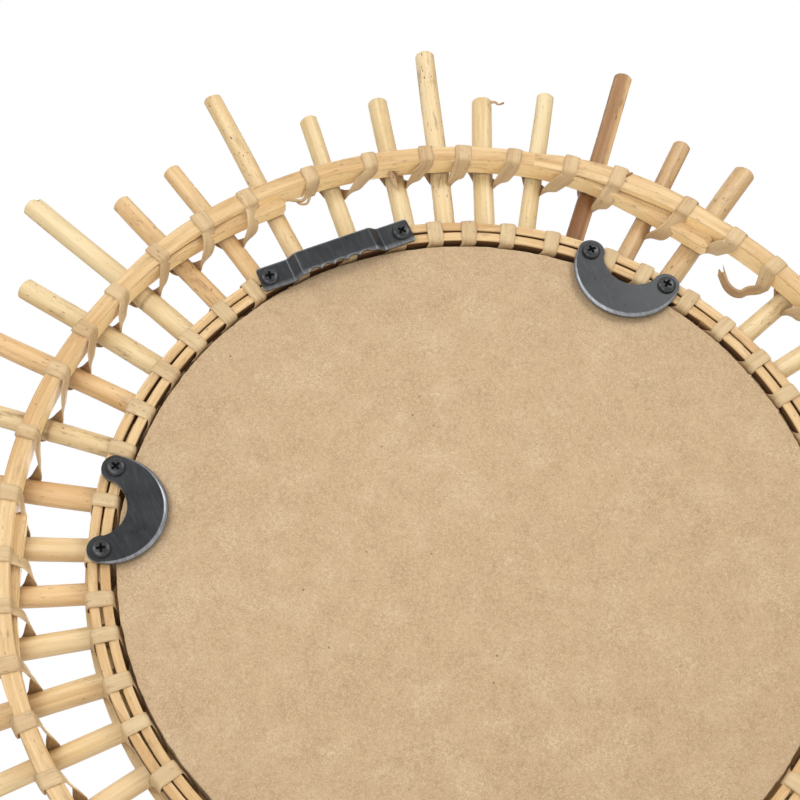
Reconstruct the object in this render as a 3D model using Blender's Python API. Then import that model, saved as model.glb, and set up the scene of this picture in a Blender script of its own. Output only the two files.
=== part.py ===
"""Round sunburst wall mirror of rattan, hung by a toothed steel hanger.

Metres, +Z up. The front faces -Y and the back faces +Y. The origin is on the back face of the
hanger's bridge, where the mirror hangs. Angles run counter-clockwise as seen from the back,
from the side that is to the right there, so 90 degrees is up. Depths are measured from the
board's back face, and grow towards the wall.
"""
import math
import random

import bmesh
import bpy
from mathutils import Vector

# Fit
GAP = 0.0003                  # clearance between pieces that touch

# Board and glass
BOARD_RADIUS = 0.143
BOARD_THICKNESS = 0.009
GLASS_THICKNESS = 0.004
GLASS_INSET = 0.0005          # how far the glass edge lies inside the board's edge

# Inner ring of two strips on the back of the rays
RING_SLOT = 0.002             # between the board's edge and the ring
STRIP_WIDTH = 0.004
STRIP_SPACING = 0.001         # between the two strips
STRIP_DEPTH = 0.006
RING_PROUD = 0.0012           # ring's back face behind the board's back face

# Rays
RAY_COUNT = 48
MISSING_RAY = 3               # its place between its neighbours is empty
FIRST_RAY_ANGLE = 4.0
LONG_EVERY = 3
RAY_DIAMETER = 0.0092
LONG_TIP_RADIUS = 0.250
SHORT_TIP_RADIUS = 0.225
STRAY_LEAN = 0.5              # degrees, hand-laid lean of the rays without one of their own
STRAY_LENGTH = 0.002
STRAY_THICKNESS = 0.0006
STRAY_SEED = 11

# Outer hoop
HOOP_INNER_RADIUS = 0.183
HOOP_WIDTH = 0.007
HOOP_DEPTH = 0.0106
HOOP_CHAMFER = 0.0012
LAP_ENDS = (31.5, 93.0, 152.0, 212.0, 272.0, 332.0)   # degrees, blunt ends of the bent lengths
LAP_SPAN = 26.5               # degrees over which two lengths lie side by side
LAP_INBOARD = 0.0042          # how far a blunt end stands inside the hoop
LAP_DEPTH = 0.0058
LAP_BULGE = 0.0012

# Flat peel that ties the rays
PEEL_WIDTH = 0.0064
PEEL_THICKNESS = 0.0009
TIE_SHIFT = 2.9               # degrees from a ray to where the peel crosses the hoop
TIE_DIVE_SHIFT = 2.3          # degrees to each side of a ray where the peel passes under it
TIE_SLACK = 0.0021            # how far the peel stands off the lapped hoop on its inner side
TIE_HANG = 0.3                # share of a ray's thickness to which that slack hangs beside it
BINDING_SHIFT = 2.2           # degrees from a ray to where the peel crosses the ring
BINDING_DROP_SHIFT = 3.3      # degrees from a ray to where that peel passes its side
BINDING_DIVE_SHIFT = 2.7      # degrees before a ray to where that peel turns under it
BINDING_DIVE_OUT = 0.0019     # from the ring's inner edge out to where it turns under
BINDING_SLACK = 0.0015        # how far the peel stands off the ring on its outer side
BINDING_HANG = 0.25           # share of a ray's thickness at which that peel passes its side
PEEL_PULL = 0.9               # share of its usual distance at which the peel lies where it is tight

# Front rim
RIM_COVER = 0.004             # how far the rim covers the glass
RIM_WIDTH = 0.0175
RIM_HEIGHT = 0.006
RIM_STEP = 0.0005             # least height of the step that the glass lies in
RIM_REST = 0.0015             # room between the thickest ray and the rim, for the peel

# Steel hanger and clips
STEEL = 0.0012
HANGER_LENGTH = 0.069
HANGER_WIDTH = 0.0112
HANGER_OVER_BOARD = 0.0023    # how far the hanger's lower edge reaches in over the board
TAB_LENGTH = 0.0132
BEND_RUN = 0.005
BRIDGE_RISE = 0.0033
TEETH = 5
TOOTH_PITCH = 0.0058
TOOTH_DEPTH = 0.0014
CLIP_ANGLES = (39.8, 150.65, 275.0)
CLIP_RADIUS = 0.0233
CLIP_NOTCH_RADIUS = 0.013
CLIP_NOTCH_RISE = 0.0059      # centre of the notch outside the line through the screws
CLIP_SEAT_OUT = 0.0043        # line through the screws, outside the board's edge
CLIP_BEVEL = 0.0005

# Roundness of the turned and bent pieces
RING_SIDES = 48
DISC_SIDES = 64
RAY_SIDES = 8
TAIL_PIECES = 4
RIM_CROWN_SIDES = 4
STEPS_PER_TOOTH = 4
CLIP_BELLY_SIDES = 12
CLIP_LOBE_SIDES = 4
CLIP_NOTCH_SIDES = 7

# Steepest angle between faces that are shaded as one, in degrees
SMOOTH_ANGLE = 40.0
ROD_SMOOTH_ANGLE = 50.0
STEEL_SMOOTH_ANGLE = 20.0

# Directions; a way to face is in degrees, turning from away from the centre towards the wall
TO_WALL = Vector((0.0, 1.0, 0.0))
OUTWARDS = 0.0
OUT_AND_BACK = 45.0
IN_AND_BACK = 135.0
IN_TIPPED_BACK = 165.0
INWARDS = 180.0
IN_TIPPED_FORWARDS = 190.0
FORWARDS = 270.0

# Hand-laid rays: ray number, lean at the ring and at the tip in degrees, longer and thicker in metres
HAND_LAID = {
    4: (0.1, -0.7, 0.003, 0.0008),
    5: (0.2, -0.5, 0.001, -0.001),
    6: (0.9, 0.8, 0.001, -0.0008),
    7: (0.9, 1.1, 0.006, -0.0012),
    8: (-0.1, 1.0, 0.0, 0.0),
    9: (-1.2, -0.7, 0.0, -0.0002),
    10: (-2.3, -2.2, 0.001, -0.0004),
    11: (-0.6, -1.7, -0.002, -0.001),
    12: (0.7, -0.2, -0.001, -0.0008),
    13: (0.4, 0.7, -0.001, -0.001),
    14: (0.3, -0.1, -0.001, -0.0006),
    15: (-0.1, -0.7, 0.0, 0.0004),
    16: (-0.5, -0.1, 0.0, 0.0002),
    17: (-0.6, -0.6, 0.0, 0.0),
    18: (-0.3, 0.2, 0.0, -0.0004),
    19: (0.8, 1.5, 0.0, 0.001),
    20: (1.4, 1.6, 0.0, 0.0008),
    21: (1.0, 0.5, 0.0, -0.0002),
    22: (0.2, -0.1, 0.0, 0.0002),
    23: (0.0, -0.1, 0.0, 0.001),
    24: (0.0, -0.4, 0.0, -0.0004),
}

# Depths that follow
RING_BACK = RING_PROUD
RING_FRONT = RING_BACK - STRIP_DEPTH
RAY_BACK = RING_FRONT - GAP
HOOP_FRONT = RAY_BACK + GAP
HOOP_BACK = HOOP_FRONT + HOOP_DEPTH
PEEL_OFFSET = GAP + PEEL_THICKNESS / 2
GLASS_BACK = -BOARD_THICKNESS - GAP
GLASS_FRONT = GLASS_BACK - GLASS_THICKNESS
RIM_LIP = GLASS_FRONT - GAP
STEEL_SEAT = RING_BACK + 2 * GAP + PEEL_THICKNESS
TAB_BACK = STEEL_SEAT + STEEL
BRIDGE_BACK = TAB_BACK + BRIDGE_RISE

# Radii that follow
RING_RADIUS = BOARD_RADIUS + RING_SLOT
OUTER_STRIP_RADIUS = RING_RADIUS + STRIP_WIDTH + STRIP_SPACING
RING_OUTER_RADIUS = OUTER_STRIP_RADIUS + STRIP_WIDTH
HOOP_OUTER_RADIUS = HOOP_INNER_RADIUS + HOOP_WIDTH
TAIL_BITE = HOOP_WIDTH / 3
GLASS_RADIUS = BOARD_RADIUS - GLASS_INSET
RIM_RADIUS = GLASS_RADIUS - RIM_COVER
HANGER_RADIUS = BOARD_RADIUS - HANGER_OVER_BOARD + HANGER_WIDTH / 2
CLIP_SEAT_RADIUS = BOARD_RADIUS + CLIP_SEAT_OUT
CLIP_LOBE_RADIUS = (CLIP_RADIUS - math.sqrt(CLIP_NOTCH_RADIUS ** 2 - CLIP_NOTCH_RISE ** 2)) / 2

# Colours, roughness and metallic value
STRAW = ((0.76, 0.56, 0.29), 0.5, 0.0)
STRAW_DEEP = ((0.60, 0.39, 0.18), 0.5, 0.0)
CANE_DARK = ((0.27, 0.15, 0.07), 0.5, 0.0)
HOOP_TAN = ((0.66, 0.44, 0.22), 0.5, 0.0)
PEEL_CREAM = ((0.80, 0.64, 0.41), 0.6, 0.0)
BOARD_BROWN = ((0.52, 0.37, 0.22), 0.85, 0.0)
SILVERED = ((0.90, 0.92, 0.92), 0.03, 1.0)
BLACK_STEEL = ((0.03, 0.032, 0.036), 0.35, 0.9)
DARK_RAY = 6
BROWN_RAYS = (4, 5)


def clear_scene():
    for old in list(bpy.data.objects):
        bpy.data.objects.remove(old, do_unlink=True)


def make_material(name, finish):
    colour, roughness, metallic = finish
    material = bpy.data.materials.new(name)
    material.use_nodes = True
    shader = material.node_tree.nodes["Principled BSDF"]
    shader.inputs["Base Color"].default_value = (*colour, 1.0)
    shader.inputs["Roughness"].default_value = roughness
    shader.inputs["Metallic"].default_value = metallic
    return material


def place(radius, degrees, depth):
    """A point at a radius from the mirror's centre, an angle seen from the back, and a depth."""
    turn = math.radians(degrees)
    return Vector((-radius * math.cos(turn), depth - BRIDGE_BACK, radius * math.sin(turn) - HANGER_RADIUS))


def part_way(one, two, share):
    return one + (two - one) * share


def make_object(name, mesh_data, finish, smooth_angle=SMOOTH_ANGLE):
    """An object from a bmesh, with its faces turned out and its own material."""
    bmesh.ops.recalc_face_normals(mesh_data, faces=mesh_data.faces)
    mesh = bpy.data.meshes.new(name)
    mesh_data.to_mesh(mesh)
    mesh_data.free()
    mesh.shade_smooth()
    mesh.set_sharp_from_angle(angle=math.radians(smooth_angle))
    made = bpy.data.objects.new(name, mesh)
    bpy.context.scene.collection.objects.link(made)
    mesh.materials.append(make_material(name + "_finish", finish))
    return made


def loft(sections, closed):
    """Skin a row of sections with the same number of points, as a ring or with two flat ends."""
    skin = bmesh.new()
    loops = [[skin.verts.new(point) for point in section] for section in sections]
    pairs = list(zip(loops, loops[1:]))
    if closed:
        pairs.append((loops[-1], loops[0]))
    else:
        skin.faces.new(loops[0])
        skin.faces.new(list(reversed(loops[-1])))
    for one, two in pairs:
        for k in range(len(one)):
            following = (k + 1) % len(one)
            skin.faces.new((one[k], one[following], two[following], two[k]))
    return skin


def ring(profile):
    """A turned ring: the profile holds (radius, depth) corners."""
    step = 360.0 / RING_SIDES
    sections = [[place(radius, k * step, depth) for radius, depth in profile] for k in range(RING_SIDES)]
    return loft(sections, closed=True)


def flat_radius(radius):
    """Radius at the middle of a turned ring's flats."""
    return radius * math.cos(math.pi / RING_SIDES)


def disc(radius, back, front):
    step = 360.0 / DISC_SIDES
    levels = [[place(radius, k * step, depth) for k in range(DISC_SIDES)] for depth in (back, front)]
    return loft(levels, closed=False)


def ray_angle(number, radius):
    """Angle of a ray's axis at a radius; rays are counted from 0 and wrap around."""
    lean_ring, lean_tip, _, _ = LAID[number % RAY_COUNT]
    share = (radius - RING_RADIUS) / (LONG_TIP_RADIUS - RING_RADIUS)
    even = FIRST_RAY_ANGLE + number * 360.0 / RAY_COUNT
    return even + part_way(lean_ring, lean_tip, share)


def ray_diameter(number):
    """Thickness of a ray; the missing one takes up no room."""
    if number % RAY_COUNT == MISSING_RAY:
        return 0.0
    return RAY_DIAMETER + LAID[number % RAY_COUNT][3]


def ray_tip(number):
    long_one = number % LONG_EVERY == 0
    reach = LONG_TIP_RADIUS if long_one else SHORT_TIP_RADIUS
    return reach + LAID[number][2]


def lay_rays():
    """How each ray is laid: as listed, and with small stray amounts for the rest."""
    stray = random.Random(STRAY_SEED)
    laid = []
    for number in range(RAY_COUNT):
        loose = (
            stray.uniform(-STRAY_LEAN, STRAY_LEAN),
            stray.uniform(-STRAY_LEAN, STRAY_LEAN),
            stray.uniform(-STRAY_LENGTH, STRAY_LENGTH),
            stray.uniform(-STRAY_THICKNESS, STRAY_THICKNESS),
        )
        laid.append(HAND_LAID.get(number, loose))
    return laid


def make_rays():
    for number in range(RAY_COUNT):
        if number == MISSING_RAY:
            continue
        tip_radius = ray_tip(number)
        thickness = ray_diameter(number)
        axis_depth = RAY_BACK - thickness / 2
        start = place(RING_RADIUS, ray_angle(number, RING_RADIUS), axis_depth)
        end = place(tip_radius, ray_angle(number, tip_radius), axis_depth)
        along = (end - start).normalized()
        across = along.cross(TO_WALL)
        sections = []
        for centre in (start, end):
            section = []
            for k in range(RAY_SIDES):
                turn = 2 * math.pi * k / RAY_SIDES
                side = TO_WALL * math.cos(turn) + across * math.sin(turn)
                section.append(centre + side * thickness / 2)
            sections.append(section)
        finish = CANE_DARK if number == DARK_RAY else STRAW
        if number in BROWN_RAYS:
            finish = STRAW_DEEP
        make_object(f"ray_{number + 1:02d}", loft(sections, closed=False), finish, ROD_SMOOTH_ANGLE)


def lap_share(degrees):
    """How far an angle is through a lap, from its tapered start at 0 to the blunt end at 1."""
    for lap_end in LAP_ENDS:
        before = (lap_end + LAP_SPAN - degrees) % 360.0
        if before <= LAP_SPAN:
            return before / LAP_SPAN
    return 0.0


def make_hoop():
    """The hoop's full section, and inside it the tail of each bent length up to its blunt end."""
    step = 360.0 / RING_SIDES
    sections = []
    for k in range(RING_SIDES):
        angle = k * step
        outer = HOOP_OUTER_RADIUS + LAP_BULGE * math.sin(math.pi * lap_share(angle))
        corners = (
            (HOOP_INNER_RADIUS, HOOP_FRONT),
            (outer, HOOP_FRONT),
            (outer, HOOP_BACK - HOOP_CHAMFER),
            (outer - HOOP_CHAMFER, HOOP_BACK),
            (HOOP_INNER_RADIUS + HOOP_CHAMFER, HOOP_BACK),
            (HOOP_INNER_RADIUS, HOOP_BACK - HOOP_CHAMFER),
        )
        sections.append([place(radius, angle, depth) for radius, depth in corners])
    hoop = make_object("outer_hoop", loft(sections, closed=True), HOOP_TAN)
    for number, lap_end in enumerate(LAP_ENDS):
        tail = make_tail(number, lap_end)
        join = hoop.modifiers.new(f"tail_{number + 1}", "BOOLEAN")
        join.operation = "UNION"
        join.solver = "EXACT"
        join.object = tail


def make_tail(number, lap_end):
    """One tail, which leaves the hoop's inner face slowly and ends blunt; it fuses with the hoop."""
    first = HOOP_INNER_RADIUS + TAIL_BITE / 2
    last = HOOP_INNER_RADIUS - LAP_INBOARD
    sections = []
    for k in range(TAIL_PIECES + 1):
        share = k / TAIL_PIECES
        angle = lap_end + LAP_SPAN * (1.0 - share)
        inner = part_way(first, last, share)
        corners = (
            (inner, HOOP_FRONT + GAP / 2),
            (HOOP_INNER_RADIUS + TAIL_BITE, HOOP_FRONT + GAP / 2),
            (HOOP_INNER_RADIUS + TAIL_BITE, HOOP_FRONT + LAP_DEPTH),
            (inner, HOOP_FRONT + LAP_DEPTH),
        )
        sections.append([place(radius, angle, depth) for radius, depth in corners])
    tail = make_object(f"tail_guide_{number + 1}", loft(sections, closed=False), HOOP_TAN)
    tail.hide_render = True
    tail.display_type = "WIRE"
    return tail


def make_ring_strips():
    for name, radius in (("ring_strip_inner", RING_RADIUS), ("ring_strip_outer", OUTER_STRIP_RADIUS)):
        outer = radius + STRIP_WIDTH
        profile = ((radius, RING_FRONT), (outer, RING_FRONT), (outer, RING_BACK), (radius, RING_BACK))
        make_object(name, ring(profile), HOOP_TAN)


def wind_peel(name, turns):
    """A closed flat strip through the spots of all turns.

    A spot is a radius, an angle, a depth and the way its outer flat side faces. Where it faces
    forwards it lies aslant on a ray, and elsewhere it crosses the ring squarely.
    """
    spots = [spot for turn in turns for spot in turn]
    points = [place(*spot[:3]) for spot in spots]
    sections = []
    for k, (_, angle, _, facing) in enumerate(spots):
        along = (points[(k + 1) % len(points)] - points[k - 1]).normalized()
        radial = place(1.0, angle, 0.0) - place(0.0, angle, 0.0)
        turn = math.radians(facing)
        out = radial * math.cos(turn) + TO_WALL * math.sin(turn)
        wide = along.cross(out).normalized() if facing == FORWARDS else TO_WALL.cross(radial)
        side = wide * PEEL_WIDTH / 2
        thick = out * PEEL_THICKNESS / 2
        centre = points[k]
        sections.append([
            centre - side - thick,
            centre + side - thick,
            centre + side + thick,
            centre - side + thick,
        ])
    make_object(name, loft(sections, closed=True), PEEL_CREAM)


def ray_pairs(radius):
    """Each ray's angle at a radius, the next ray's, and the next ray's thickness."""
    for number in range(RAY_COUNT):
        yield ray_angle(number, radius), ray_angle(number + 1, radius), ray_diameter(number + 1)


def make_outer_lashing():
    """Over the hoop beside each ray, inside the hoop, under the next ray and up the outer side."""
    over = HOOP_BACK + PEEL_PULL * PEEL_OFFSET
    outside = HOOP_OUTER_RADIUS + LAP_BULGE + PEEL_OFFSET
    inside = HOOP_INNER_RADIUS - LAP_INBOARD - TIE_SLACK
    turns = []
    for here, there, thickness in ray_pairs(HOOP_INNER_RADIUS):
        crossing = here + TIE_SHIFT
        dive = there - TIE_DIVE_SHIFT
        under = RAY_BACK - thickness - PEEL_OFFSET
        hang = RAY_BACK - TIE_HANG * thickness
        turns.append([
            (outside, crossing, over, OUT_AND_BACK),
            (flat_radius(HOOP_INNER_RADIUS) - PEEL_OFFSET, crossing, over, IN_AND_BACK),
            (inside, part_way(crossing, dive, 1 / 3), RING_BACK, IN_TIPPED_BACK),
            (inside, part_way(crossing, dive, 2 / 3), hang, IN_TIPPED_FORWARDS),
            (HOOP_INNER_RADIUS - LAP_INBOARD / 2, dive, under, FORWARDS),
            (outside, there + TIE_DIVE_SHIFT, under, FORWARDS),
            (outside, there + TIE_SHIFT, RAY_BACK, OUTWARDS),
        ])
    wind_peel("outer_lashing", turns)


def make_inner_lashing():
    """Over both strips beside each ray, through the slot at the board, and under the next ray."""
    over = RING_BACK + PEEL_PULL * PEEL_OFFSET
    outside = RING_OUTER_RADIUS + BINDING_SLACK
    inside = flat_radius(RING_RADIUS) - PEEL_OFFSET
    turns = []
    for here, there, thickness in ray_pairs(RING_OUTER_RADIUS):
        crossing = here + BINDING_SHIFT
        dive = there - BINDING_DIVE_SHIFT
        under = RAY_BACK - thickness - PEEL_OFFSET
        beside = RAY_BACK - BINDING_HANG * thickness
        turns.append([
            (outside, here + BINDING_DROP_SHIFT, over, OUT_AND_BACK),
            (inside, crossing, over, IN_AND_BACK),
            (inside, part_way(crossing, dive, 1 / 2), beside, INWARDS),
            (RING_RADIUS + BINDING_DIVE_OUT, dive, under, FORWARDS),
            (outside, there + BINDING_DIVE_SHIFT, under, FORWARDS),
            (outside, there + BINDING_DROP_SHIFT, beside, OUTWARDS),
        ])
    wind_peel("inner_lashing", turns)


def make_front_rim():
    """A half-round ring in front of the rays, with a step behind it that the glass lies in."""
    outer = RIM_RADIUS + RIM_WIDTH
    step_radius = GLASS_RADIUS + GAP
    thickest = max(ray_diameter(number) for number in range(RAY_COUNT))
    rests_on = RAY_BACK - thickest - RIM_REST
    back = min(rests_on, RIM_LIP - RIM_STEP)
    profile = [(RIM_RADIUS, RIM_LIP), (step_radius, RIM_LIP), (step_radius, back), (outer, back)]
    for k in range(RIM_CROWN_SIDES):
        turn = math.pi * (k + 1 / 2) / RIM_CROWN_SIDES
        radius = RIM_RADIUS + RIM_WIDTH * (1.0 + math.cos(turn)) / 2
        profile.append((radius, back - RIM_HEIGHT * math.sin(turn)))
    make_object("front_rim", ring(profile), STRAW, ROD_SMOOTH_ANGLE)


def hanger_profile(along):
    """Height of the strip's back face and of its lower edge at a place along the hanger."""
    half = HANGER_LENGTH / 2
    rise = min(1.0, max(0.0, (half - TAB_LENGTH - abs(along)) / BEND_RUN))
    span = TEETH * TOOTH_PITCH
    lower = HANGER_RADIUS - HANGER_WIDTH / 2
    if abs(along) < span / 2:
        share = (along + span / 2) / TOOTH_PITCH % 1.0
        lower += TOOTH_DEPTH * math.sin(math.pi * share)
    return TAB_BACK + BRIDGE_RISE * rise, lower


def make_hanger():
    """One strip of steel: two tabs, two bends and a raised bridge with scallops below."""
    half = HANGER_LENGTH / 2
    bend = half - TAB_LENGTH
    stations = [-half, -bend, -bend + BEND_RUN]
    first = -TEETH * TOOTH_PITCH / 2
    stations += [first + k * TOOTH_PITCH / STEPS_PER_TOOTH for k in range(TEETH * STEPS_PER_TOOTH + 1)]
    stations += [bend - BEND_RUN, bend, half]
    upper = HANGER_RADIUS + HANGER_WIDTH / 2
    sections = []
    for along in stations:
        back, lower = hanger_profile(along)
        corners = ((lower, back), (upper, back), (upper, back - STEEL), (lower, back - STEEL))
        sections.append([
            Vector((-along, depth - BRIDGE_BACK, height - HANGER_RADIUS)) for height, depth in corners
        ])
    make_object("sawtooth_hanger", loft(sections, closed=False), BLACK_STEEL, STEEL_SMOOTH_ANGLE)


def clip_outline(shrink):
    """Crescent seen from the back, as (sideways, outward) points, drawn in by a small amount."""
    lobe_place = CLIP_RADIUS - CLIP_LOBE_RADIUS
    belly = CLIP_RADIUS - shrink
    lobe = CLIP_LOBE_RADIUS - shrink
    notch = CLIP_NOTCH_RADIUS + shrink
    notch_end = math.acos(min(1.0, (lobe_place - lobe) / notch))
    points = []
    for k in range(CLIP_BELLY_SIDES + 1):
        turn = math.pi + math.pi * k / CLIP_BELLY_SIDES
        points.append((belly * math.cos(turn), belly * math.sin(turn)))
    for k in range(1, CLIP_LOBE_SIDES + 1):
        turn = math.pi * k / CLIP_LOBE_SIDES
        points.append((lobe_place + lobe * math.cos(turn), lobe * math.sin(turn)))
    for k in range(1, CLIP_NOTCH_SIDES):
        turn = -notch_end - (math.pi - 2 * notch_end) * k / CLIP_NOTCH_SIDES
        points.append((notch * math.cos(turn), CLIP_NOTCH_RISE + notch * math.sin(turn)))
    for k in range(CLIP_LOBE_SIDES):
        turn = math.pi * k / CLIP_LOBE_SIDES
        points.append((-lobe_place + lobe * math.cos(turn), lobe * math.sin(turn)))
    return points


def make_clips():
    """Each crescent is screwed to the ring and reaches over the board."""
    levels = (
        (0.0, STEEL_SEAT),
        (0.0, STEEL_SEAT + STEEL - CLIP_BEVEL),
        (CLIP_BEVEL, STEEL_SEAT + STEEL),
    )
    for number, angle in enumerate(CLIP_ANGLES):
        centre = place(CLIP_SEAT_RADIUS, angle, 0.0)
        outward = (centre - place(0.0, angle, 0.0)).normalized()
        sideways = outward.cross(TO_WALL)
        sections = []
        for shrink, depth in levels:
            level = centre + TO_WALL * depth
            sections.append([
                level + sideways * side + outward * out for side, out in clip_outline(shrink)
            ])
        crescent = loft(sections, closed=False)
        make_object(f"crescent_clip_{number + 1}", crescent, BLACK_STEEL, STEEL_SMOOTH_ANGLE)


clear_scene()
LAID = lay_rays()
make_rays()
make_hoop()
make_ring_strips()
make_outer_lashing()
make_inner_lashing()
make_object("backing_board", disc(BOARD_RADIUS, 0.0, -BOARD_THICKNESS), BOARD_BROWN)
make_object("mirror_glass", disc(GLASS_RADIUS, GLASS_BACK, GLASS_FRONT), SILVERED)
make_front_rim()
make_hanger()
make_clips()
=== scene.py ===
"""Looks of a round sunburst wall mirror of rattan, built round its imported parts.

Metres, +Z up. The front faces -Y and the back faces +Y. Angles run counter-clockwise as seen from
the back, from the side that is to the right there. Depths are measured from the board's back face
and grow towards the wall.
"""
import math
import random

import bmesh
import bpy
import numpy as np
from mathutils import Matrix, Vector


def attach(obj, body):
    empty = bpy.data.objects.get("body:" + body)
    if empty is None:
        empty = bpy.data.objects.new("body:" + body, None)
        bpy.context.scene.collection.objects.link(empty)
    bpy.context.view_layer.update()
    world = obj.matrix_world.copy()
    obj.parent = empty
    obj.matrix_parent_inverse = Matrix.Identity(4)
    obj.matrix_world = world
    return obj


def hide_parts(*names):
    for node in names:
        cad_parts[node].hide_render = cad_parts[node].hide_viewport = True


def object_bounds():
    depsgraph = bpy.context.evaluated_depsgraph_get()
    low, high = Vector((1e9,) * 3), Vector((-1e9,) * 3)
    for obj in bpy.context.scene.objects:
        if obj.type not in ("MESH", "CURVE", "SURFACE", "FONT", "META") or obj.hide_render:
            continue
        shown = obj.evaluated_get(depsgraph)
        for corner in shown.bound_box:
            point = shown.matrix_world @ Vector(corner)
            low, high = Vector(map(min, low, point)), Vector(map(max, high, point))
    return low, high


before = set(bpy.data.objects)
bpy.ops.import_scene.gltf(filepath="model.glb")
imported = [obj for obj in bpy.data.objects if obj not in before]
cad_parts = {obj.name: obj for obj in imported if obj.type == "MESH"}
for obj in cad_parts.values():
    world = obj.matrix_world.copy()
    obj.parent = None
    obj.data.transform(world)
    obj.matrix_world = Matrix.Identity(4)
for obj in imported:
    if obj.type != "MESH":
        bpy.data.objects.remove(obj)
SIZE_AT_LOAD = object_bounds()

# Main radii, depths and lengths, as in the part; the laps are each as the photo shows them
BRIDGE_BACK = 0.0072
HANGER_RADIUS = 0.1463
BOARD_RADIUS = 0.143
BOARD_THICKNESS = 0.009
RING_RADIUS = 0.145
STRIP_WIDTH = 0.004
STRIP_RADIUS = 0.15
RING_OUTER = 0.154
RING_FRONT = -0.0048
RING_BACK = 0.0012
RAY_BACK = -0.0051
HOOP_INNER = 0.183
HOOP_OUTER = 0.19
HOOP_FRONT = -0.0048
HOOP_BACK = 0.0058
LAP_ENDS = (31.5, 93.0, 152.0, 212.0, 272.0, 332.0)
LAP_SPAN = 26.5
LAP_INBOARDS = (0.0078, 0.0054, 0.0046, 0.0046, 0.0046, 0.0046)
LAP_DEPTH = 0.0068
LAP_BULGES = (0.0026, 0.0012, 0.0012, 0.0012, 0.0012, 0.0012)
GLASS_RADIUS = 0.1425
GLASS_BACK = -0.0093
GLASS_FRONT = -0.0133
RIM_RADIUS = 0.1385
RIM_WIDTH = 0.0175
STEEL = 0.0012
STEEL_SEAT = 0.0027
HANGER_LENGTH = 0.069
HANGER_WIDTH = 0.0112
TAB_LENGTH = 0.0132
BEND_RUN = 0.005
BRIDGE_RISE = 0.0033
TEETH = 5
TOOTH_PITCH = 0.0058
TOOTH_DEPTH = 0.0014
CLIP_ANGLES = (39.8, 150.65, 275.0)
CLIP_RADIUS = 0.0233
CLIP_NOTCH_RADIUS = 0.013
CLIP_NOTCH_RISE = 0.0059
CLIP_SEAT_RADIUS = 0.1473
CLIP_LOBE_RADIUS = 0.00586
RAY_COUNT = 48
MISSING_RAY = 3
FIRST_RAY_ANGLE = 4.0

# Peel; the lift is from what it lies on to its middle
PEEL_WIDTH = 0.0064
PEEL_THICKNESS = 0.0008
PEEL_LIFT = 0.0007

# Camera
CAMERA_PLACE = (0.1945889, 0.7172365, -0.3926193)
CAMERA_TARGET = (0.0017237, -0.0072, -0.071528)
CAMERA_ROLL = -25.966
CAMERA_LENS = 89.57
SENSOR = 36.0

# Strength of the room's light: from the sides, from the front and back, and more from above
ROOM_LIGHT = (0.11, 0.3)
SKY_LIGHT = 0.86
BACKDROP_LIGHT = 1.0
FLOOR_REACH = 6.0
FLOOR_GAP = 0.0005
LIT_SPOT = (0.0, 0.0, -0.1)
# Name, place, size and power
LIGHTS = (
    ("key", (0.75, 1.15, 0.75), 0.5, 5.6),
    ("side", (-0.75, 0.85, 0.25), 0.6, 5.0),
    ("low", (0.5, 1.0, -0.1), 0.5, 3.4),
    ("front", (-0.5, -1.5, 0.6), 0.9, 18.0),
)

TO_WALL = np.array([0.0, 1.0, 0.0])
CORNERS = ((-1, -1), (1, -1), (1, 1), (-1, 1))
LUCK = random.Random(5)


def place(radius, degrees, depth):
    turn = math.radians(degrees)
    return np.array([
        -radius * math.cos(turn),
        depth - BRIDGE_BACK,
        radius * math.sin(turn) - HANGER_RADIUS,
    ])


def radial(degrees):
    turn = math.radians(degrees)
    return np.array([-math.cos(turn), 0.0, math.sin(turn)])


def unit(vector):
    return vector / np.linalg.norm(vector)


MIDDLE = place(0.0, 0.0, 0.0)


# Shader helpers

def fill(tree, node, values):
    """Each input gets a link where its value is a socket, and otherwise the value itself."""
    for key, value in values.items():
        if isinstance(value, bpy.types.NodeSocket):
            tree.links.new(value, node.inputs[key])
        else:
            node.inputs[key].default_value = value


def add(tree, kind, inputs=None, **settings):
    node = tree.nodes.new(kind)
    for key, value in settings.items():
        setattr(node, key, value)
    fill(tree, node, inputs or {})
    return node


def named_vector(tree, name):
    return add(tree, "ShaderNodeAttribute", attribute_name=name).outputs["Vector"]


def split(tree, vector):
    return add(tree, "ShaderNodeSeparateXYZ", {"Vector": vector}).outputs


def object_spot(tree):
    return add(tree, "ShaderNodeTexCoord").outputs["Object"]


def noise(tree, vector, scale, detail=3.0, roughness=0.55, distortion=0.0):
    """Noise over a vector scaled by one number, or by one for each of its axes."""
    scales = scale if isinstance(scale, tuple) else (scale, scale, scale)
    scaled = add(tree, "ShaderNodeVectorMath", {0: vector, 1: scales}, operation="MULTIPLY")
    made = add(tree, "ShaderNodeTexNoise", {
        "Vector": scaled.outputs[0], "Scale": 1.0, "Detail": detail,
        "Roughness": roughness, "Distortion": distortion,
    })
    return made.outputs["Fac"]


def spread(tree, value, low, high, to_low=0.0, to_high=1.0):
    made = add(tree, "ShaderNodeMapRange", {
        "Value": value, "From Min": low, "From Max": high, "To Min": to_low, "To Max": to_high,
    })
    return made.outputs["Result"]


def calc(tree, operation, one, two=0.0):
    return add(tree, "ShaderNodeMath", {0: one, 1: two}, operation=operation).outputs[0]


def times(tree, one, two):
    return calc(tree, "MULTIPLY", one, two)


def blend(tree, share, one, two, kind="MIX"):
    one, two = ((*value, 1.0) if isinstance(value, tuple) else value for value in (one, two))
    inputs = {0: share, 6: one, 7: two}
    return add(tree, "ShaderNodeMix", inputs, data_type="RGBA", blend_type=kind).outputs[2]


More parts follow.
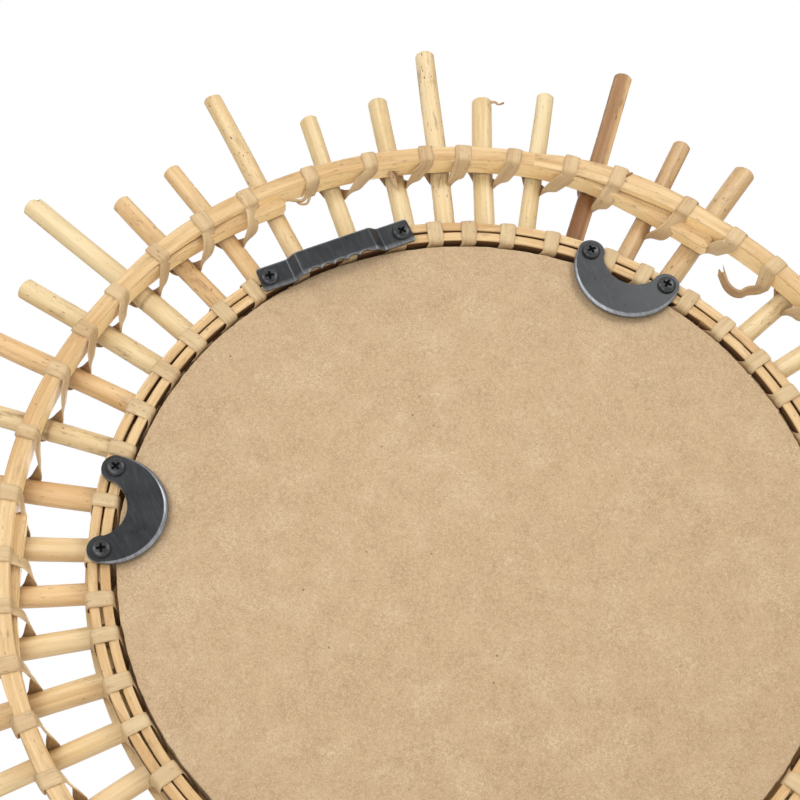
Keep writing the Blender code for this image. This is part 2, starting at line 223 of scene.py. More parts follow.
def mottled(tree, scale, one, two, detail=3.0, low=0.3, high=0.7):
    """Noise over the object, and two colours blended by it."""
    mottle = noise(tree, object_spot(tree), scale, detail)
    return mottle, blend(tree, spread(tree, mottle, low, high), one, two)


def new_material(name):
    material = bpy.data.materials.new(name)
    material.use_nodes = True
    return material, material.node_tree, material.node_tree.nodes["Principled BSDF"]


def bump(tree, height, strength, distance):
    return add(tree, "ShaderNodeBump", {
        "Height": height, "Strength": strength, "Distance": distance,
    }).outputs["Normal"]


# Materials

# Name: pale, deep and brown colours, roughness, and how strongly it is lined
CANE_KINDS = {
    "straw_cane": ((0.78, 0.65, 0.43), (0.64, 0.46, 0.24), (0.22, 0.11, 0.042), 0.46, 0.55),
    "bent_cane": ((0.72, 0.56, 0.34), (0.56, 0.37, 0.18), (0.2, 0.1, 0.045), 0.52, 0.95),
    "cream_peel": ((0.62, 0.49, 0.315), (0.48, 0.34, 0.195), (0.26, 0.14, 0.06), 0.58, 0.6),
}
# Near-black painted shadow, for the deepest gaps between the canes
PAINTED_SHADOW_BLACK = (0.02, 0.011, 0.005)
# Gold-tinted painted light, for inner faces that the lamps leave dim
PAINTED_GOLD_LIGHT = (1.0, 0.8, 0.47)
COOL_TINT = (0.98, 1.0, 0.93)
WARM_TINT = (1.0, 0.82, 0.64)
SPECK_BROWN = (0.1, 0.045, 0.02)
CANE_RELIEF = 0.00025


def make_cane_material(name, pale, deep, brown, roughness, lined):
    """Rattan: fibres along the piece, lined more or less.

    Its look attribute holds darkness, warmth and stain. Darkness is partly the cane's own tone
    and partly painted shade; from 1 to 2 it goes on from brown to nearly black as painted shadow,
    and below 0 it turns to gold-tinted painted light.
    """
    material, tree, shader = new_material(name)
    grain = named_vector(tree, "grain")
    look = split(tree, named_vector(tree, "look"))
    fine = noise(tree, grain, (1900.0, 1900.0, 60.0), 3.0)
    streak = noise(tree, grain, (480.0, 480.0, 11.0), 4.0)
    broad = noise(tree, grain, (120.0, 120.0, 16.0), 2.0)
    lines = spread(tree, fine, 0.3, 0.7, -0.25, 0.25)
    tone = calc(tree, "ADD", spread(tree, streak, 0.3, 0.72, 0.08, 0.08 + lined), lines)
    tone = calc(tree, "ADD", tone, spread(tree, broad, 0.35, 0.65, -0.3, 0.45))
    colour = blend(tree, tone, pale, deep)
    dark = calc(tree, "ADD", look[0], spread(tree, streak, 0.3, 0.7, -0.15, 0.15))
    dark = times(tree, dark, spread(tree, look[0], 0.0, 0.2))
    colour = blend(tree, dark, colour, brown)
    colour = blend(tree, spread(tree, look[0], 1.0, 2.0), colour, PAINTED_SHADOW_BLACK)
    # Darkness below 0 brings in the painted light
    colour = blend(tree, spread(tree, look[0], 0.0, -1.0), colour, PAINTED_GOLD_LIGHT)
    tint = blend(tree, look[1], COOL_TINT, WARM_TINT)
    colour = blend(tree, 1.0, colour, tint, "MULTIPLY")
    stain = noise(tree, grain, (300.0, 300.0, 60.0), 5.0, 0.7)
    stain = times(tree, spread(tree, stain, 0.54, 0.7), look[2])
    colour = blend(tree, stain, colour, brown)
    speck = noise(tree, grain, (900.0, 900.0, 300.0), 2.0, 0.5)
    speck = spread(tree, speck, 0.66, 0.72, 0.0, 0.8)
    speck = times(tree, speck, spread(tree, look[2], 0.0, 0.6))
    colour = blend(tree, speck, colour, SPECK_BROWN)
    relief = calc(tree, "ADD", fine, times(tree, streak, 1.5))
    fill(tree, shader, {
        "Base Color": colour,
        "Roughness": spread(tree, streak, 0.2, 0.8, roughness - 0.08, roughness + 0.14),
        "Normal": bump(tree, relief, 0.35, CANE_RELIEF),
    })
    return material


def make_end_material():
    """The cut end of a cane, with its open pores."""
    material, tree, shader = new_material("cane_end")
    spot = object_spot(tree)
    pores = add(tree, "ShaderNodeTexVoronoi", {"Vector": spot, "Scale": 2600.0}).outputs["Distance"]
    colour = mottled(tree, 500.0, (0.62, 0.43, 0.22), (0.42, 0.26, 0.12))[1]
    colour = blend(tree, spread(tree, pores, 0.1, 0.3, 0.8, 0.0), colour, (0.16, 0.09, 0.04))
    relief = bump(tree, pores, 0.6, 0.0003)
    fill(tree, shader, {"Base Color": colour, "Roughness": 0.85, "Normal": relief})
    return material


def make_board_material():
    """Fibreboard: fine matted fibres, mottling and dark specks."""
    material, tree, shader = new_material("fibreboard")
    spot = object_spot(tree)
    mottle = spread(tree, noise(tree, spot, 95.0, 5.0, 0.65), 0.32, 0.7)
    fibre = noise(tree, spot, 950.0, 4.0, 0.65, 1.8)
    colour = blend(tree, mottle, (0.455, 0.315, 0.185), (0.38, 0.255, 0.142))
    colour = blend(tree, spread(tree, fibre, 0.42, 0.58, 0.0, 0.75), colour, (0.58, 0.43, 0.27))
    ridge = noise(tree, spot, 330.0, 2.0, 0.5, 2.4)
    ridge = calc(tree, "ABSOLUTE", calc(tree, "SUBTRACT", ridge, 0.5))
    patch = noise(tree, spot, 130.0, 2.0)
    hair = spread(tree, ridge, 0.004, 0.012, 1.0, 0.0)
    hair = times(tree, hair, spread(tree, patch, 0.5, 0.62))
    colour = blend(tree, times(tree, hair, 0.6), colour, (0.22, 0.135, 0.07))
    light_patch = noise(tree, spot, 70.0, 2.0)
    light_hair = spread(tree, ridge, 0.02, 0.035, 1.0, 0.0)
    light_hair = times(tree, light_hair, spread(tree, light_patch, 0.49, 0.64))
    colour = blend(tree, times(tree, light_hair, 0.5), colour, (0.68, 0.54, 0.37))
    specks = add(tree, "ShaderNodeTexVoronoi", {"Vector": spot, "Scale": 170.0, "Randomness": 1.0})
    chosen = spread(tree, split(tree, specks.outputs["Color"])[0], 0.9, 0.93)
    dark = spread(tree, specks.outputs["Distance"], 0.05, 0.11, 1.0, 0.0)
    dark = times(tree, times(tree, dark, chosen), 0.75)
    colour = blend(tree, dark, colour, (0.12, 0.07, 0.035))
    fill(tree, shader, {
        "Base Color": colour,
        "Roughness": spread(tree, fibre, 0.3, 0.7, 0.82, 0.95),
        "Specular IOR Level": 0.2,
        "Normal": bump(tree, fibre, 0.25, 0.0003),
    })
    return material


def make_steel_material():
    """Black painted steel with a satin sheen, whose look attribute says where it is lighter and
    more
    metallic: rubbed paint, and a painted highlight along the clips' bevels.
    """
    material, tree, shader = new_material("black_steel")
    spot = object_spot(tree)
    mottle = noise(tree, spot, 90.0, 5.0, 0.6)
    grit = noise(tree, spot, 2600.0, 2.0)
    scuff = noise(tree, spot, (700.0, 300.0, 120.0), 4.0, 0.7)
    paint = spread(tree, mottle, 0.35, 0.65)
    colour = blend(tree, paint, (0.02, 0.021, 0.023), (0.032, 0.034, 0.036))
    colour = blend(tree, spread(tree, scuff, 0.5, 0.76, 0.0, 0.2), colour, (0.16, 0.165, 0.17))
    rubbed_and_highlit = split(tree, named_vector(tree, "look"))[0]
    wear_and_highlight = times(tree, rubbed_and_highlit, spread(tree, scuff, 0.3, 0.6, 0.45, 1.0))
    # Lighter and more metallic where rubbed; on the clips' bevels this is a painted highlight
    colour = blend(tree, wear_and_highlight, colour, (0.34, 0.35, 0.37))
    fill(tree, shader, {
        "Base Color": colour,
        "Metallic": spread(tree, wear_and_highlight, 0.0, 1.0, 0.2, 0.8),
        "Roughness": spread(tree, mottle, 0.3, 0.7, 0.26, 0.36),
        "Normal": bump(tree, grit, 0.06, 0.0001),
    })
    return material


def make_recess_material():
    """Painted shade down in a screw's recess, darker than the black paint round it."""
    material, tree, shader = new_material("screw_recess")
    colour = mottled(tree, 1500.0, (0.004, 0.004, 0.005), (0.014, 0.013, 0.012))[1]
    fill(tree, shader, {"Base Color": colour, "Roughness": 0.8, "Specular IOR Level": 0.1})
    return material


def make_mirror_material():
    """Silvered glass with a faint haze."""
    material, tree, shader = new_material("silvered_glass")
    haze, colour = mottled(tree, 14.0, (0.9, 0.92, 0.92), (0.86, 0.89, 0.88), 4.0)
    sheen = spread(tree, haze, 0.3, 0.8, 0.015, 0.05)
    fill(tree, shader, {"Base Color": colour, "Metallic": 1.0, "Roughness": sheen})
    return material


def make_floor_material():
    material, tree, shader = new_material("studio_floor")
    colour = mottled(tree, 3.0, (0.8, 0.8, 0.79), (0.84, 0.84, 0.83), 3.0, 0.0, 1.0)[1]
    fill(tree, shader, {"Base Color": colour, "Roughness": 0.8})
    return material


# Mesh helpers

def new_object(name, data):
    made = bpy.data.objects.new(name, data)
    bpy.context.scene.collection.objects.link(made)
    return made


def make_object(name, points, faces, materials, layers=None, smooth_angle=45.0, turn_out=True):
    mesh = bpy.data.meshes.new(name)
    mesh.from_pydata(points.tolist(), [], faces)
    if turn_out:
        work = bmesh.new()
        work.from_mesh(mesh)
        bmesh.ops.recalc_face_normals(work, faces=work.faces)
        work.to_mesh(mesh)
        work.free()
    for key, values in (layers or {}).items():
        layer = mesh.attributes.new(key, "FLOAT_VECTOR", "POINT")
        layer.data.foreach_set("vector", np.asarray(values, np.float32).ravel())
    for material in materials:
        mesh.materials.append(material)
    mesh.shade_smooth()
    mesh.set_sharp_from_angle(angle=math.radians(smooth_angle))
    return new_object(name, mesh)


def skin(name, sections, materials, grain=None, look=None, closed=False, smooth_angle=45.0):
    """A tube through sections of equal point counts; the ends get the second material."""
    count, around = sections.shape[:2]
    row = np.arange(count if closed else count - 1)[:, None] * around
    below = (row + around) % (count * around)
    column = np.arange(around)[None, :]
    following = (column + 1) % around
    quads = np.stack([row + column, row + following, below + following, below + column], axis=2)
    faces = quads.reshape(-1, 4).tolist()
    if not closed:
        faces.append(list(range(around))[::-1])
        faces.append(list(range((count - 1) * around, count * around)))
    layers = {key: rows for key, rows in (("grain", grain), ("look", look)) if rows is not None}
    made = make_object(name, sections.reshape(-1, 3), faces, materials, layers, smooth_angle)
    if not closed and len(materials) > 1:
        for face in made.data.polygons[len(faces) - 2:]:
            face.material_index = 1
    return made


def put(piece, slot_name, *nodes):
    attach(piece, "root")
    if nodes:
        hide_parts(*nodes)
    return piece


def flat_look(shape, tone, warmth, stain):
    look = np.empty((*shape, 3))
    look[:] = (tone, warmth, stain)
    return look


# Rays

RAY_SIDES = 28
RAY_STEP = 0.0025
CUT_EDGE = 0.0004
TIP_RUN = 0.004
RAY_FIT = 0.985
RAY_SWAY = 0.0004
JOINT_MARKS = (-0.003, -0.0015, -0.0006, 0.0, 0.0006, 0.0015)
JOINT_RUN = 0.0012
# One dark ray has a pale stripe: its side and width in degrees
STRIPED_RAY = 6
STRIPE_SIDE = 62.0
STRIPE_WIDTH = 22.0
# Darkness where the hoop keeps the light off, and the length over which it fades
HOOP_SHADE = 0.16
HOOP_SHADE_RUN = 0.003
# Ray number: darkness, warmth, stain
RAY_LOOKS = {
    2: (0.12, 0.3, 0.5),
    4: (0.34, 0.7, 0.5), 5: (0.44, 0.8, 0.6), 6: (0.8, 1.0, 0.9), 7: (0.0, 0.1, 0.25),
    8: (0.05, 0.3, 0.2), 9: (0.02, 0.35, 0.7), 10: (0.0, 0.2, 0.2), 11: (0.02, 0.2, 0.15),
    12: (0.06, 0.45, 0.6), 13: (0.1, 0.75, 0.2), 14: (0.15, 0.8, 0.8), 15: (0.0, 0.35, 0.15),
    16: (0.0, 0.25, 0.6), 17: (0.1, 0.9, 0.5), 18: (0.0, 0.3, 0.9), 19: (0.12, 0.95, 0.3),
    20: (0.08, 0.6, 0.15), 21: (0.02, 0.9, 0.3), 22: (0.02, 0.5, 0.15), 23: (0.1, 0.55, 0.3),
    24: (0.0, 0.45, 0.15),
}
# Ray number: places of the joints of the cane, as shares of its length
RAY_JOINTS = {15: (0.33,), 18: (0.35,), 30: (0.5,), 37: (0.6,), 41: (0.3,)}
# Ray number: side of the chip in degrees, its width in degrees and its depth
TIP_CHIPS = {12: (150.0, 45.0, 0.0045), 15: (40.0, 30.0, 0.002), 33: (200.0, 40.0, 0.003)}


def home_angle(number):
    return FIRST_RAY_ANGLE + number * 360.0 / RAY_COUNT


def ray_axis(number):
    """Start, end and radius of a ray's axis, worked out from its solid; 0 for the missing one."""
    if number == MISSING_RAY:
        angle = home_angle(number)
        return place(RING_RADIUS, angle, RAY_BACK), place(HOOP_OUTER, angle, RAY_BACK), 0.0
    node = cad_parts[f"ray_{number + 1:02d}"]
    corners = np.unique(np.round(np.array([v.co for v in node.data.vertices], float), 6), axis=0)
    centre = corners.mean(axis=0)
    along = np.linalg.svd(corners - centre)[2][0]
    if along @ (centre - MIDDLE) < 0:
        along = -along
    reach = (corners - centre) @ along
    off_axis = (corners - centre) - np.outer(reach, along)
    radius = np.linalg.norm(off_axis, axis=1).max()
    return centre + along * reach.min(), centre + along * reach.max(), radius


RAY_AXES = [ray_axis(number) for number in range(RAY_COUNT)]


def ray_angle(number, radius):
    """Angle of a ray's axis where it reaches a radius."""
    start, end, _ = RAY_AXES[number % RAY_COUNT]
    one = (start - MIDDLE)[[0, 2]]
    step = (end - start)[[0, 2]]
    a = step @ step
    b = 2 * one @ step
    c = one @ one - radius * radius
    x, z = one + step * (-b + math.sqrt(max(0.0, b * b - 4 * a * c))) / (2 * a)
    angle = math.degrees(math.atan2(z, -x))
    home = home_angle(number)
    return home + (angle - home + 180.0) % 360.0 - 180.0


def ray_stations(length, joints):
    marks = list(np.linspace(0.0, length - CUT_EDGE, int(length / RAY_STEP)))
    for joint in joints:
        marks += [joint * length + offset for offset in JOINT_MARKS]
    return np.array(sorted(marks) + [length])


def bell(values, width):
    return np.exp(-0.5 * (values / width) ** 2)


def make_ray(number, materials):
    start, end, radius = RAY_AXES[number]
    length = float(np.linalg.norm(end - start))
    along = unit(end - start)
    across = unit(np.cross(along, TO_WALL))
    joints = RAY_JOINTS.get(number, ())
    marks = ray_stations(length, joints)
    turns = np.linspace(0.0, 2 * math.pi, RAY_SIDES, endpoint=False)
    luck = random.Random(100 + number)
    phase = [luck.uniform(0.0, 6.28) for _ in range(5)]
    share = marks / length
    swell = 1.0 + 0.012 * np.sin(9.0 * share + phase[0]) - 0.02
    shade = np.zeros_like(marks)
    for joint in joints:
        gap = (marks - joint * length) / JOINT_RUN
        swell += 0.05 * bell(gap, 1.6) - 0.05 * bell(gap, 0.4)
        shade += 0.5 * bell(gap, 0.5)
    ribs = 1.0 + 0.012 * np.sin(3 * turns + phase[1]) + 0.008 * np.sin(7 * turns + phase[2])
    sizes = radius * swell[:, None] * ribs[None, :] * RAY_FIT
    sizes[-1] -= CUT_EDGE
    sway = RAY_SWAY * np.sin(math.pi * share + phase[3]) * np.sin(math.pi * share)
    tilt = luck.uniform(0.0, 0.1)
    near_tip = np.clip((marks - length + TIP_RUN) / TIP_RUN, 0.0, 1.0)[:, None]
    pull = radius * tilt * (1.0 + np.cos(turns + phase[4]))[None, :] * near_tip
    if number in TIP_CHIPS:
        side, width, depth = TIP_CHIPS[number]
        gap = (np.degrees(turns) - side + 180.0) % 360.0 - 180.0
        notch = bell(gap, width / 2.0)[None, :]
        reach = np.clip((marks - length + 2 * depth) / (2 * depth), 0.0, 1.0)[:, None]
        sizes = sizes * (1.0 - 0.25 * notch * reach)
        pull = pull + depth * notch * near_tip
    sections = (
        start
        + along * (marks[:, None, None] - pull[:, :, None])
        + across * sway[:, None, None]
        + TO_WALL * (sizes * np.cos(turns)[None, :])[:, :, None]
        + across * (sizes * np.sin(turns)[None, :])[:, :, None]
    )
    grain = np.empty((len(marks), RAY_SIDES, 3))
    grain[:, :, 0] = radius * np.cos(turns) + number * 0.37
    grain[:, :, 1] = radius * np.sin(turns) + number * 0.11
    grain[:, :, 2] = marks[:, None]
    usual = (luck.uniform(0.0, 0.2), luck.uniform(0.2, 0.8), luck.uniform(0.1, 0.6))
    tone, warmth, stain = RAY_LOOKS.get(number, usual)
    look = flat_look(sections.shape[:2], tone, warmth, stain)
    look[:, :, 0] += shade[:, None]
    if number == STRIPED_RAY:
        inboard = np.clip((HOOP_OUTER - RING_RADIUS - marks) / TIP_RUN, 0.0, 1.0)[:, None]
        stripe = bell(np.degrees(turns) - STRIPE_SIDE, STRIPE_WIDTH)[None, :]
        look[:, :, 0] += 0.3 * inboard - 0.85 * stripe * (1.0 - 0.4 * inboard)
    below_hoop = marks - HOOP_INNER + RING_RADIUS + 0.001
    look[:, :, 0] += HOOP_SHADE * bell(below_hoop, HOOP_SHADE_RUN)[:, None]
    piece = skin(f"cane_ray_{number + 1:02d}", sections, materials, grain, look)
    slot_name = {4: "brown_cane", 5: "brown_cane", 6: "dark_cane"}.get(number, "ray_cane")
    return put(piece, slot_name, f"ray_{number + 1:02d}")


# Bent canes of the hoop and the ring

CORNER_STEPS = 3
CORNER_LIMIT = 3.2
# How far past a rounded corner its shading is held, as a share of its radius
CORNER_HOLD = 0.4
# Points of a bent cane's section on its inner side
INNER_POINTS = [0, 1, 2, 22, 23]
# Depth over which a bent cane's shade comes in
SHADE_RUN = 0.0006
# How the ends of the hoop's lengths are shaped: their gap, their lead and the tails' round ends
LAP_GAP = 0.0003
LAP_SINK = HOOP_BACK - HOOP_FRONT - LAP_DEPTH
LAP_LEAD = 1.6
SCARF_SHARE = 0.75
TAIL_UNDER = 0.001
TAIL_ROUND = 0.9
TAIL_ROUNDING = 0.0014
HOOP_SOFT = (0.0007, 0.0008)
HOOP_STEP = 0.6
HOOP_WANDER = 0.00015
# The ring's strips, each in lengths that lap the next
STRIP_STARTS = (17.0, 139.0, 258.0)
STRIP_SHIFT = 41.0
STRIP_LAP = 9.0
STRIP_STEP = 0.7
STRIP_WANDER = 0.00022
STRIP_SOFT = (0.0007, 0.0006)


def rounded_section(inner, outer, front, back, soft_back, soft_front):
    """A rounded bar's outline, as (radius, depth), from the inner front edge by the outside."""
    corners = (
        (inner, front, 1, 1, soft_front),
        (outer, front, -1, 1, soft_front),
        (outer, back, -1, -1, soft_back),
        (inner, back, 1, -1, soft_back),
    )
    starts = (180.0, 270.0, 0.0, 90.0)
    points = []
    for (radius, depth, way_out, way_back, soft), first in zip(corners, starts):
        soft = min(soft, abs(outer - inner) / CORNER_LIMIT, abs(back - front) / CORNER_LIMIT)
        x, y = radius + way_out * soft, depth + way_back * soft
        arc = [math.radians(first + 90.0 * k / CORNER_STEPS) for k in range(CORNER_STEPS + 1)]
        rim = [(x + soft * math.cos(turn), y + soft * math.sin(turn)) for turn in arc]
        hold = soft * CORNER_HOLD
        lead_in = (rim[0][0] + math.sin(arc[0]) * hold, rim[0][1] - math.cos(arc[0]) * hold)
        lead_out = (rim[-1][0] - math.sin(arc[-1]) * hold, rim[-1][1] + math.cos(arc[-1]) * hold)
        points += [lead_in, *rim, lead_out]
    return points


def swept(angles, outlines, run_radius, seed):
    """Sections and grain of outlines of (radius, depth), one for each angle round the middle."""
    sections = []
    grain = []
    for angle, outline in zip(angles, outlines):
        sections.append([place(radius, angle, depth) for radius, depth in outline])
        run = math.radians(angle) * run_radius
        grain.append([(radius + seed, depth + seed, run) for radius, depth in outline])
    return np.array(sections), np.array(grain)


def bent_cane(name, angles, shapes, materials, look, seed, shade, shaded_below, inner_painted_light=0.0):
    """A bar bent round the middle, with a shape for rounded_section at each angle.

    It gets painted shade where it lies short of a depth, and gold-tinted painted light on its
    inner side.
    """
    outlines = [rounded_section(*shape) for shape in shapes]
    sections, grain = swept(angles, outlines, HOOP_INNER, seed)
    shades = flat_look(sections.shape[:2], *look)
    depths = sections[:, :, 1] + BRIDGE_BACK
    if inner_painted_light:
        shades[:, INNER_POINTS, 0] = -inner_painted_light
    shades[:, :, 0] += shade * np.clip((shaded_below - depths) / SHADE_RUN, 0.0, 1.0)
    return skin(name, sections, materials, grain, shades)


def ease(value):
    value = min(1.0, max(0.0, value))
    return value * value * (3 - 2 * value)


def hoop_shape(angle, lap_start, lap_end, wander, inboard, bulge):
    """Section of one length of the hoop, which starts as a scarf and ends as a tail inboard."""
    inner, outer, front, back = HOOP_INNER, HOOP_OUTER, HOOP_FRONT, HOOP_BACK
    into = (lap_start - angle) / LAP_SPAN
    if into < 1.0:
        outer += bulge * math.sin(math.pi * max(0.0, into))
        tail_back = HOOP_BACK - LAP_SINK * ease(LAP_LEAD * into)
        if into < SCARF_SHARE:
            front = tail_back + 0.0004
        else:
            front += (tail_back - front) * (1 - ease((into - SCARF_SHARE) * 6))
        front = min(front, back - 0.0005)
        outer = outer - 0.0005 + LAP_GAP * ease(into * 8)
    out_of = (angle - lap_end) / LAP_SPAN
    if out_of < 1.0:
        share = 1.0 - out_of
        inner -= (inboard - 0.0002) * ease(share)
        outer = outer + (HOOP_INNER + TAIL_UNDER - outer) * ease(share)
        back = HOOP_BACK - LAP_SINK * ease(LAP_LEAD * share) - LAP_GAP * ease(share * 20)
        near_end = 1.0 - min(1.0, max(0.0, (angle - lap_end) / TAIL_ROUND))
        rounding = TAIL_ROUNDING * (1.0 - math.sqrt(max(0.0, 1.0 - near_end ** 2)))
        inner, outer, back = inner + rounding, outer - rounding, back - rounding
    return (inner + wander, outer + wander, front, back, *HOOP_SOFT)


def make_hoop_canes(materials):
    for number, lap in enumerate(LAP_ENDS):
        lap_start = lap + LAP_SPAN
        lap_end = LAP_ENDS[number - 1] - (360.0 if number == 0 else 0.0)
        count = int((lap_start - lap_end) / HOOP_STEP)
        angles = [lap_start + (lap_end - lap_start) * k / count for k in range(count + 1)]
        phase = LUCK.uniform(0.0, 6.28)
        shapes = []
        for angle in angles:
            wander = HOOP_WANDER * math.sin(math.radians(angle * 9) + phase)
            lap_sizes = (LAP_INBOARDS[number - 1], LAP_BULGES[number])
            shapes.append(hoop_shape(angle, lap_start, lap_end, wander, *lap_sizes))
        # The hoop gets painted shade on its front side and painted light on its inner side
        piece = bent_cane(
            f"hoop_cane_{number + 1}", angles, shapes, materials, (0.06, 0.5, 0.35),
            2.0 + number, 0.6, HOOP_FRONT + 0.0008, 1.0,
        )
        put(piece, "hoop_cane", *(["outer_hoop"] if number == 0 else []))


def make_ring_canes(materials):
    strips = (("ring_strip_inner", RING_RADIUS), ("ring_strip_outer", STRIP_RADIUS))
    for row, (node, radius) in enumerate(strips):
        for number, first in enumerate(STRIP_STARTS):
            start = first + STRIP_SHIFT * row
            following = STRIP_STARTS[(number + 1) % len(STRIP_STARTS)] + STRIP_SHIFT * row
            end = following + (360.0 if following < start else 0.0) + STRIP_LAP
            count = int((end - start) / STRIP_STEP)
            angles = [start + (end - start) * k / count for k in range(count + 1)]
            phase = LUCK.uniform(0.0, 6.28)
            shapes = []
            for angle in angles:
                wander = STRIP_WANDER * math.sin(math.radians(angle * 7) + phase)
                grown = ease((angle - start) / STRIP_LAP)
                left = ease((end - angle) / STRIP_LAP)
                inner = radius + STRIP_WIDTH * 0.92 * (1 - grown)
                outer = radius + STRIP_WIDTH * (0.08 + 0.92 * left)
                depths = (RING_FRONT, RING_BACK - 0.0001)
                shapes.append((inner + wander, outer + wander, *depths, *STRIP_SOFT))
            # The strips get painted shade, deep enough to reach near-black painted shadow, on all
            # but their back face
            piece = bent_cane(
                f"{node}_cane_{number + 1}", angles, shapes, materials, (0.08, 0.5, 0.4),
                12.0 + 3 * row + number, 1.7, RING_BACK - 0.0007,
            )
            put(piece, "strip_cane", *([node] if number == 0 else []))


# Lashings

PEEL_OUTLINE = (
    (-0.5, -0.25), (-0.47, -0.5), (-0.2, -0.5), (0.2, -0.5), (0.47, -0.5),
    (0.5, -0.25), (0.48, 0.1), (0.36, 0.35), (0.18, 0.47), (0.0, 0.5),
    (-0.18, 0.47), (-0.36, 0.35), (-0.48, 0.1),
)
SHIFT_SPREAD = 0.4
PEEL_STEPS = 5
PEEL_SMOOTH_ANGLE = 60.0
# Degrees from a ray to where the peel crosses the hoop, and from a ray to where it crosses the ring
TIE_SHIFTS = {
    4: 2.9, 5: 5.2, 6: 3.25, 7: 3.2, 8: 3.2, 9: 2.1, 10: 3.55, 11: 3.2, 12: 3.4, 13: 2.4,
    14: 2.8, 15: 3.5, 16: 2.6, 17: 1.9,
}
TORN_TIE = 11
BINDING_SHIFTS = {
    2: 2.4, 3: 2.3, 4: 3.3, 6: 3.4, 7: 3.2, 8: 3.0, 9: 2.3, 13: 2.9, 14: 1.8, 15: 1.8, 16: 1.5,
    17: 1.8, 18: 1.4, 19: 1.6, 21: 2.6, 22: 1.5, 23: 1.8, 24: 1.3,
}


def smooth_track(spots, closed):
    """Rows along a smooth line through the spots, a few steps between each two."""
    spots = np.array(spots, float)
    if closed:
        lap = np.zeros(spots.shape[1])
        lap[1] = 360.0
        spots = np.vstack([spots[-1] - lap, spots, spots[0] + lap, spots[1] + lap])
    else:
        spots = np.vstack([spots[0], spots, spots[-1]])
    track = []
    for before, here, there, after in zip(spots, spots[1:], spots[2:], spots[3:]):
        for step in range(PEEL_STEPS):
            t = step / PEEL_STEPS
            track.append(0.5 * (
                2 * here
                + (there - before) * t
                + (2 * before - 5 * here + 4 * there - after) * t * t
                + (3 * here - before - 3 * there + after) * t ** 3
            ))
    if not closed:
        track.append(spots[-1])
    return np.array(track)


def peel_strip(name, spots, material, seed, look=(0.5, 0.35), closed=False, frayed=False):
    """A flat strip along spots of radius, degrees, depth, the way out (radial, tangential, to the
    wall), width and darkness, the darkness being painted shade where the peel runs under a ray or
    down into a gap; the look is warmth and stain. A frayed one has a ragged far end."""
    track = smooth_track(spots, closed)
    points = np.array([place(*row[:3]) for row in track])
    if closed:
        ahead = np.roll(points, -1, axis=0) - np.roll(points, 1, axis=0)
    else:
        ahead = np.gradient(points, axis=0)
    run = np.concatenate([[0.0], np.cumsum(np.linalg.norm(np.diff(points, axis=0), axis=1))])
    sections = []
    grain = []
    for k, row in enumerate(track):
        tangent = radial(row[1] + 90.0)
        out = radial(row[1]) * row[3] + tangent * row[4] + TO_WALL * row[5]
        along = unit(ahead[k])
        wide = unit(np.cross(along, out))
        out = unit(np.cross(wide, along))
        width = row[6]
        sections.append([
            points[k] + wide * (x * width) + out * (y * PEEL_THICKNESS) for x, y in PEEL_OUTLINE
        ])
        grain.append([
            (x * width + seed, y * PEEL_THICKNESS + seed, run[k]) for x, y in PEEL_OUTLINE
        ])
    sections = np.array(sections)
    if frayed:
        sides = np.array(PEEL_OUTLINE)[:, 0]
        ragged = 0.0016 * np.sin(11.0 * sides + 2.0) + 0.001 * np.sin(29.0 * sides)
        sections[-1] += along * ragged[:, None]
    shades = flat_look(sections.shape[:2], 0.0, *look)
    # The spots' darkness is painted shade
    shades[:, :, 0] = track[:, 7:8]
    return skin(name, sections, [material], np.array(grain), shades, closed, PEEL_SMOOTH_ANGLE)


def hoop_at(degrees):
    """How far inboard the hoop's lapped tail stands and how far the hoop bulges, at an angle."""
    for lap, inboard, bulge in zip(LAP_ENDS, LAP_INBOARDS, LAP_BULGES):
        before = (lap + LAP_SPAN - degrees) % 360.0
        if before <= LAP_SPAN:
            share = before / LAP_SPAN
            return inboard * ease(share), bulge * math.sin(math.pi * share)
    return 0.0, 0.0


def turn_places(number, radius, shifts, usual, luck):
    """Where a turn of a lashing crosses; the angle, side and half width of the ray that it goes
    under; and the peel's depths under that ray and beside it."""
    there = ray_angle(number + 1, radius)
    shift = shifts.get(number % RAY_COUNT, usual + luck.uniform(-SHIFT_SPREAD, SHIFT_SPREAD))
    half = RAY_AXES[(number + 1) % RAY_COUNT][2]
    beside = math.degrees((half + PEEL_LIFT) / radius)
    crossing = ray_angle(number, radius) + shift
    return crossing, there, beside, half, RAY_BACK - 2 * half - PEEL_LIFT, RAY_BACK - half


